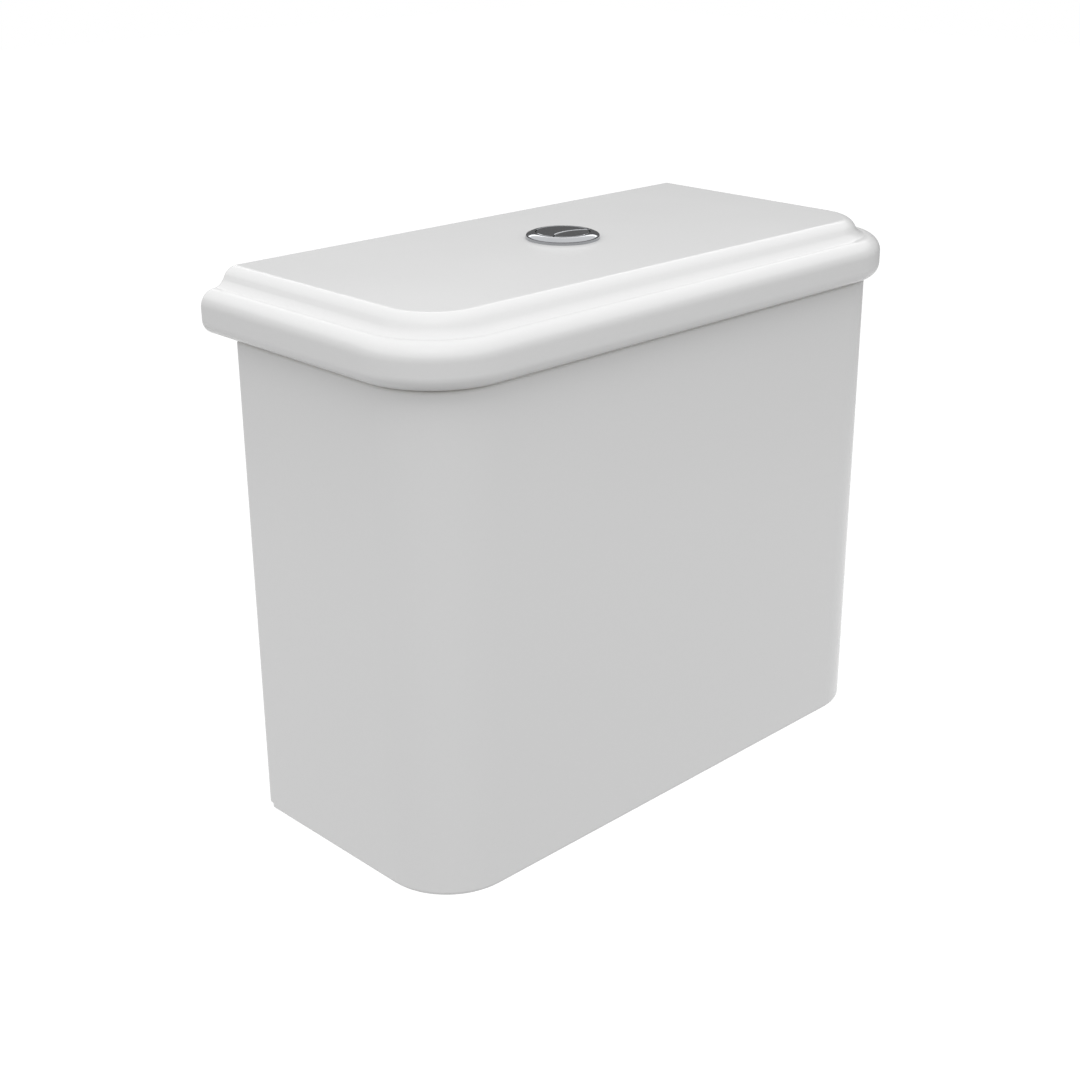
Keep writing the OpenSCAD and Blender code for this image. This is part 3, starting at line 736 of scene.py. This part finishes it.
def cut_thread(shape, axis, low, high, pitch):
    """Cuts a thread in the outer wall that stands round an axis, and returns its corners."""
    lead = THREAD_LEAD * pitch

    def reach(vert):
        return (vert.co.xy - axis).length

    crest = max(
        reach(vert)
        for vert in shape.verts
        if abs(vert.co.z - low) < NEAR and reach(vert) < WIDEST_THREAD
    )
    bmesh.ops.bisect_plane(
        shape,
        geom=[*shape.verts, *shape.edges, *shape.faces],
        dist=NEAR,
        plane_co=(0.0, 0.0, high),
        plane_no=(0.0, 0.0, 1.0),
    )
    wall = [
        face
        for face in shape.faces
        if abs(face.normal.z) < NEAR
        and all(
            abs(reach(vert) - crest) < ALIGNED and low - NEAR < vert.co.z < high + NEAR
            for vert in face.verts
        )
    ]
    bmesh.ops.delete(shape, geom=wall, context="FACES")
    before = set(shape.verts)
    root = crest - THREAD_DEPTH * pitch
    section = thread_section(shape, axis, crest, root, low - pitch, pitch)
    wind(shape, section, axis, 1, pitch, max(LEAST_FACETS, round(crest / THREAD_STEP)))
    skin = [vert for vert in shape.verts if vert not in before]
    repeat_up(shape, skin, pitch, math.ceil((high - low) / pitch) + 1)
    skin = [vert for vert in shape.verts if vert not in before]
    bmesh.ops.remove_doubles(shape, verts=skin, dist=ALIGNED)
    for level, keep_above in ((low + lead, True), (high - lead, False)):
        skin = [vert for vert in shape.verts if vert not in before]
        cut_level(shape, skin, level, keep_above)
    for end in (low, high):
        ring = [
            edge
            for edge in shape.edges
            if edge.is_boundary
            and all(reach(v) < crest + NEAR and abs(v.co.z - end) < lead + NEAR for v in edge.verts)
        ]
        bmesh.ops.bridge_loops(shape, edges=ring)

    def at_thread(vert):
        return crest - pitch < reach(vert) < crest + NEAR and low - NEAR < vert.co.z < high + NEAR

    return [vert for vert in shape.verts if vert not in before or at_thread(vert)]


def make_piece(name, shape, node):
    """Makes an object of a finished shape, which stands for its CAD node and rides with it."""
    bmesh.ops.recalc_face_normals(shape, faces=shape.faces)
    for face in shape.faces:
        face.smooth = True
    mesh = bpy.data.meshes.new(name)
    shape.to_mesh(mesh)
    shape.free()
    mesh.set_sharp_from_angle(angle=CREASE)
    mesh.materials.append(finish_of(SLOT[node]))
    piece = bpy.data.objects.new(name, mesh)
    bpy.context.scene.collection.objects.link(piece)
    even = piece.modifiers.new("Even shading", "WEIGHTED_NORMAL")
    even.keep_sharp = True
    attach(piece, BODY[node])
    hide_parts(node)
    return piece


def put_on(node, shape, width, spared=()):
    """Rounds a shape's sharp edges and puts it in the place of a CAD node."""
    round_edges(shape, width, sharp_edges(shape, width, spared))
    make_piece(node + "_dressed", shape, node)


def dress(node, width, *threads):
    """Replaces a CAD node by a copy with rounded edges and with these threads cut in it."""
    shape = copy_of(node)
    spared = []
    for axis, low, high, pitch in threads:
        spared += cut_thread(shape, axis, low, high, pitch)
    put_on(node, shape, width, spared)


def middle_of(node):
    """The middle of a node's box, seen from above."""
    low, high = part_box(node)
    return ((low + high) / 2).xy


def mount(name):
    """A mount of the record by its name."""
    return next(m for m in RECORD["mounts"] if m["name"] == name)


class CISTERN_OT_ceramic(bpy.types.Operator):
    """Glazes the tank and the lid."""

    bl_idname = "cistern.ceramic"
    bl_label = "Tank and lid"

    def execute(self, context):
        sizes = context.scene.cistern_sizes
        dress("tank", sizes.ceramic_round)
        dress("lid", sizes.ceramic_round)
        return {"FINISHED"}


class CISTERN_OT_push_button(bpy.types.Operator):
    """Plates the push button and dresses what holds it in the lid."""

    bl_idname = "cistern.push_button"
    bl_label = "Push button"

    def execute(self, context):
        sizes = context.scene.cistern_sizes
        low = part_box("button_housing")[0].z
        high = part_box("housing_washer")[1].z
        housing = copy_of("button_housing")
        self.shape_bezel(housing, sizes)
        spared = cut_thread(housing, middle_of("button_housing"), low, high, sizes.barrel_pitch)
        put_on("button_housing", housing, sizes.metal_round, spared)
        for node in ("full_flush_button", "half_flush_button"):
            button = copy_of(node)
            round_edges(button, sizes.split_round, self.split_edges(button))
            put_on(node, button, sizes.metal_round)
        for node in ("housing_nut", "full_flush_rod", "half_flush_rod"):
            dress(node, sizes.plastic_round)
        dress("housing_washer", sizes.rubber_round)
        return {"FINISHED"}

    def shape_bezel(self, housing, sizes):
        """Leans the bezel's straight edge in towards the axis, and rounds its upper corner."""
        widest = max(vert.co.xy.length for vert in housing.verts)
        wall = [vert for vert in housing.verts if vert.co.xy.length > widest - ALIGNED]
        low, high = min(vert.co.z for vert in wall), max(vert.co.z for vert in wall)
        for vert in wall:
            vert.co.xy *= 1 - (vert.co.z - low) * math.tan(sizes.bezel_draft) / widest
        upper = {vert for vert in wall if vert.co.z > high - NEAR}
        ring = [edge for edge in housing.edges if upper.issuperset(edge.verts)]
        round_edges(housing, sizes.bezel_round, ring)

    def split_edges(self, button):
        """The upper edges of a button along the split, which are square."""
        top = max(vert.co.z for vert in button.verts)
        return [
            edge
            for edge in button.edges
            if all(vert.co.z > top - NEAR for vert in edge.verts) and edge.calc_face_angle() > CREASE
        ]


class CISTERN_OT_springs(bpy.types.Operator):
    """Winds the return springs under the two buttons."""

    bl_idname = "cistern.springs"
    bl_label = "Button springs"

    def execute(self, context):
        sizes = context.scene.cistern_sizes
        for side in ("full", "half"):
            self.wind_one(sizes, side + "_button_spring", side + "_press", middle_of(side + "_flush_rod"))
        return {"FINISHED"}

    def wind_one(self, sizes, node, joint, axis):
        """Winds a closed end turn, the open turns and a closed end turn again."""
        low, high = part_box(node)
        wire_r = sizes.spring_wire / 2
        coil_r = (high.x - low.x) / 2 - wire_r
        closed_rise = CLOSED_RISE * sizes.spring_wire
        open_rise = high.z - low.z - sizes.spring_wire - 2 * closed_rise
        start = Matrix.Translation((axis.x + coil_r, axis.y, low.z + wire_r))
        shape = bmesh.new()
        bmesh.ops.create_circle(
            shape,
            cap_ends=True,
            segments=WIRE_SIDES,
            radius=wire_r,
            matrix=start @ Matrix.Rotation(math.pi / 2, 4, "X"),
        )
        end = [*shape.verts, *shape.edges, *shape.faces]
        for turns, rise in ((1, closed_rise), (sizes.spring_turns, open_rise), (1, closed_rise)):
            end = wind(shape, end, axis, turns, rise, TURN_STEPS)
        piece = make_piece(node + "_wound", shape, node)
        travel = JOINT[joint]["range_m"][1]
        height = high.z - low.z
        (height - travel) / height
        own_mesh(piece)


class CISTERN_OT_flush_valve(bpy.types.Operator):
    """Dresses the flush valve, from its back nut to its levers."""

    bl_idname = "cistern.flush_valve"
    bl_label = "Flush valve"

    def execute(self, context):
        sizes = context.scene.cistern_sizes
        spigot = mount("outlet_spigot")
        tail_low = spigot["pos_m"][2] + spigot["dims"]["length_mm"] / MM_IN_M / 2
        thread = (middle_of("valve_base"), tail_low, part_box("valve_washer")[0].z, sizes.tail_pitch)
        dress("valve_base", sizes.plastic_round, thread)
        for node in (
            "valve_back_nut",
            "valve_tower",
            "valve_head",
            "lift_tube",
            "seal_clamp",
            "full_flush_float",
            "half_flush_float",
            "lift_yoke",
            "full_flush_lever",
            "half_flush_lever",
        ):
            dress(node, sizes.plastic_round)
        for node in ("valve_washer", "coupling_gasket", "main_seal"):
            dress(node, sizes.rubber_round)
        dress("lever_pins", sizes.metal_round)
        return {"FINISHED"}


class CISTERN_OT_fill_valve(bpy.types.Operator):
    """Dresses the fill valve with its float and arm."""

    bl_idname = "cistern.fill_valve"
    bl_label = "Fill valve"

    def execute(self, context):
        sizes = context.scene.cistern_sizes
        tail = mount("inlet_tail")
        tail_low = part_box("fill_valve_body")[0].z
        tail_high = tail_low + tail["dims"]["length_mm"] / MM_IN_M
        thread = (Vector(tail["pos_m"]).xy, tail_low, tail_high, sizes.inlet_pitch)
        dress("fill_valve_body", sizes.plastic_round, thread)
        for node in ("fill_valve_nut", "fill_valve_cap", "float_cup", "float_link", "float_arm"):
            dress(node, sizes.plastic_round)
        dress("inlet_filter", sizes.plastic_round / 2)
        for node in ("fill_valve_washer", "fill_valve_diaphragm"):
            dress(node, sizes.rubber_round)
        dress("arm_pin", sizes.metal_round)
        return {"FINISHED"}


class CISTERN_OT_fixings(bpy.types.Operator):
    """Dresses the bolts to the pan, the plug in the spare hole and the lid's buffers."""

    bl_idname = "cistern.fixings"
    bl_label = "Bolts, plug and buffers"

    def execute(self, context):
        sizes = context.scene.cistern_sizes
        plug_low, plug_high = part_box("blanking_plug")[0].z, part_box("plug_washer")[0].z
        plug_thread = (middle_of("blanking_plug"), plug_low, plug_high, sizes.inlet_pitch)
        dress("blanking_plug", sizes.plastic_round, plug_thread)
        dress("plug_nut", sizes.plastic_round)
        bolts = mount("pan_bolts")
        half_spacing = bolts["dims"]["spacing_x_mm"] / MM_IN_M / 2
        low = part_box("coupling_bolts")[0].z
        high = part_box("bolt_nuts")[0].z - BOLT_NECK
        threads = [
            (Vector((side * half_spacing, 0.0)), low, high, sizes.bolt_pitch) for side in (-1, 1)
        ]
        dress("coupling_bolts", sizes.metal_round, *threads)
        for node in ("bolt_nuts", "bolt_head_washers", "bolt_under_washers"):
            dress(node, sizes.metal_round)
        for node in ("plug_washer", "bolt_cone_washers", "bolt_under_seals", "lid_buffers"):
            dress(node, sizes.rubber_round / 2)
        return {"FINISHED"}


class CISTERN_OT_stage(bpy.types.Operator):
    """Sets up the camera, the light, the floor and the drape."""

    bl_idname = "cistern.stage"
    bl_label = "Camera, light and floor"

    def execute(self, context):
        stage = context.scene.cistern_stage
        context.scene.view_settings.view_transform = "Standard"
        self.set_camera(context.scene, stage)
        self.set_world(context.scene, stage)
        key_size = (stage.key_size, stage.key_size)
        key = self.hang_softbox(context.scene, "key", stage.key_glow, key_size, stage.key_place)
        key.visible_glossy = False
        rim_size = (stage.rim_width, stage.rim_height)
        rim = self.hang_softbox(context.scene, "rim", stage.rim_glow, rim_size, stage.rim_place)
        rim.visible_diffuse = False
        self.lay_floor(context.scene, stage)
        self.hang_drape(context.scene, stage)
        return {"FINISHED"}

    def set_camera(self, scene, stage):
        """Puts the camera where the photograph was taken from."""
        lens = bpy.data.cameras.new("camera")
        lens.lens = stage.lens
        lens.shift_x, lens.shift_y = stage.shift
        camera = bpy.data.objects.new("camera", lens)
        camera.location = stage.camera_place
        camera.rotation_euler = Vector(stage.camera_aim).to_track_quat("-Z", "Y").to_euler()
        scene.collection.objects.link(camera)
        scene.camera = camera

    def set_world(self, scene, stage):
        """Even light from all round, which the camera and polished surfaces see as white."""
        world = bpy.data.worlds.new("studio")
        wire = fresh_wire(world)
        strength = stage.ambient + self.in_view(wire) * (1.0 - stage.ambient)
        light = wire.add("ShaderNodeBackground", {"Color": (1, 1, 1, 1), "Strength": strength})
        wire.add("ShaderNodeOutputWorld", {"Surface": light})
        scene.world = world

    def in_view(self, wire):
        """1 for what the camera sees, also by way of polished or clear surfaces, and 0 for light."""
        camera, glossy, clear = (
            wire.add("ShaderNodeLightPath", output=kind)
            for kind in ("Is Camera Ray", "Is Glossy Ray", "Is Transmission Ray")
        )
        return camera + glossy + clear

    def hang_softbox(self, scene, name, glow, size, place):
        """A softbox aimed at the cistern, as bright as its face should look."""
        light = bpy.data.lights.new(name, "AREA")
        light.shape = "RECTANGLE"
        light.size, light.size_y = size
        light.energy = glow * math.pi * light.size * light.size_y
        softbox = bpy.data.objects.new(name, light)
        softbox.location = place
        aim = (CAD_BOX[0] + CAD_BOX[1]) / 2 - softbox.location
        softbox.rotation_euler = aim.to_track_quat("-Z", "Y").to_euler()
        scene.collection.objects.link(softbox)
        return softbox

    def lay_floor(self, scene, stage):
        """A pale floor that keeps the shadow and looks white to the camera."""
        shape = bmesh.new()
        bmesh.ops.create_grid(
            shape,
            x_segments=FLOOR_CELLS,
            y_segments=FLOOR_CELLS,
            size=FLOOR_REACH,
            matrix=Matrix.Translation((0, 0, stage.floor_z)),
        )
        material = bpy.data.materials.new("pale_floor")
        wire = fresh_wire(material)
        paint = wire.add("ShaderNodeBsdfDiffuse", {"Color": (*[stage.floor_grey] * 3, 1.0)})
        lift = wire.add("ShaderNodeEmission", {"Strength": self.in_view(wire) * stage.floor_lift})
        both = wire.add("ShaderNodeAddShader", {0: paint, 1: lift})
        wire.add("ShaderNodeOutputMaterial", {"Surface": both})
        self.put_on_stage(scene, "floor", shape, material)

    def hang_drape(self, scene, stage):
        """A dark drape all round, white at its foot, which only polished surfaces reflect."""
        shape = bmesh.new()
        bmesh.ops.create_circle(
            shape,
            segments=DRAPE_SIDES,
            radius=stage.drape_foot,
            matrix=Matrix.Translation((0, 0, stage.floor_z)),
        )
        raised = bmesh.ops.extrude_edge_only(shape, edges=shape.edges)["geom"]
        top = [item for item in raised if isinstance(item, bmesh.types.BMVert)]
        spread = stage.drape_reach / stage.drape_foot
        bmesh.ops.scale(shape, verts=top, vec=(spread, spread, 1.0))
        bmesh.ops.translate(shape, verts=top, vec=(0.0, 0.0, stage.drape_top))
        material = bpy.data.materials.new("dark_drape")
        wire = fresh_wire(material)
        place = wire.add("ShaderNodeTexCoord", output="Object")
        height = wire.add("ShaderNodeSeparateXYZ", {"Vector": place}, output="Z") - stage.floor_z
        grey = (height * (1 / stage.drape_fade)).ramp((0.0, 1.0), (1.0, stage.drape_grey))
        cloth = wire.add("ShaderNodeEmission", {"Color": grey})
        wire.add("ShaderNodeOutputMaterial", {"Surface": cloth})
        drape = self.put_on_stage(scene, "drape", shape, material)
        drape.visible_camera = False
        drape.visible_diffuse = False
        drape.visible_shadow = False
        drape.visible_transmission = False

    def put_on_stage(self, scene, name, shape, material):
        """Makes an object of a shape that isn't part of the cistern."""
        mesh = bpy.data.meshes.new(name)
        shape.to_mesh(mesh)
        shape.free()
        mesh.materials.append(material)
        item = bpy.data.objects.new(name, mesh)
        scene.collection.objects.link(item)
        return item


STEPS = (
    CISTERN_OT_stage,
    CISTERN_OT_ceramic,
    CISTERN_OT_push_button,
    CISTERN_OT_springs,
    CISTERN_OT_flush_valve,
    CISTERN_OT_fill_valve,
    CISTERN_OT_fixings,
)
GROUPS = {
    "cistern_sizes": CisternSizes,
    "cistern_colours": CisternColours,
    "cistern_stage": CisternStage,
}


class VIEW3D_PT_cistern(bpy.types.Panel):
    """Lists the steps and the values that they use."""

    bl_label = "Toilet cistern"
    bl_space_type = "VIEW_3D"
    bl_region_type = "UI"
    bl_category = "Cistern"

    def draw(self, context):
        for step in STEPS:
            self.layout.operator(step.bl_idname)
        for group, kind in GROUPS.items():
            box = self.layout.box()
            for name in kind.__annotations__:
                box.prop(getattr(context.scene, group), name)


CLASSES = (*GROUPS.values(), *STEPS, VIEW3D_PT_cistern)


def register():
    """Registers the classes and gives each scene its values."""
    for kind in CLASSES:
        bpy.utils.register_class(kind)
    for group, kind in GROUPS.items():
        setattr(bpy.types.Scene, group, bpy.props.PointerProperty(type=kind))


def unregister():
    """Undoes what register does."""
    for group in GROUPS:
        delattr(bpy.types.Scene, group)
    for kind in reversed(CLASSES):
        bpy.utils.unregister_class(kind)


def main():
    """Builds the stage and the cistern."""
    register()
    bpy.ops.cistern.stage()
    bpy.ops.cistern.ceramic()
    bpy.ops.cistern.push_button()
    bpy.ops.cistern.springs()
    bpy.ops.cistern.flush_valve()
    bpy.ops.cistern.fill_valve()
    bpy.ops.cistern.fixings()


if __name__ == "__main__":
    main()
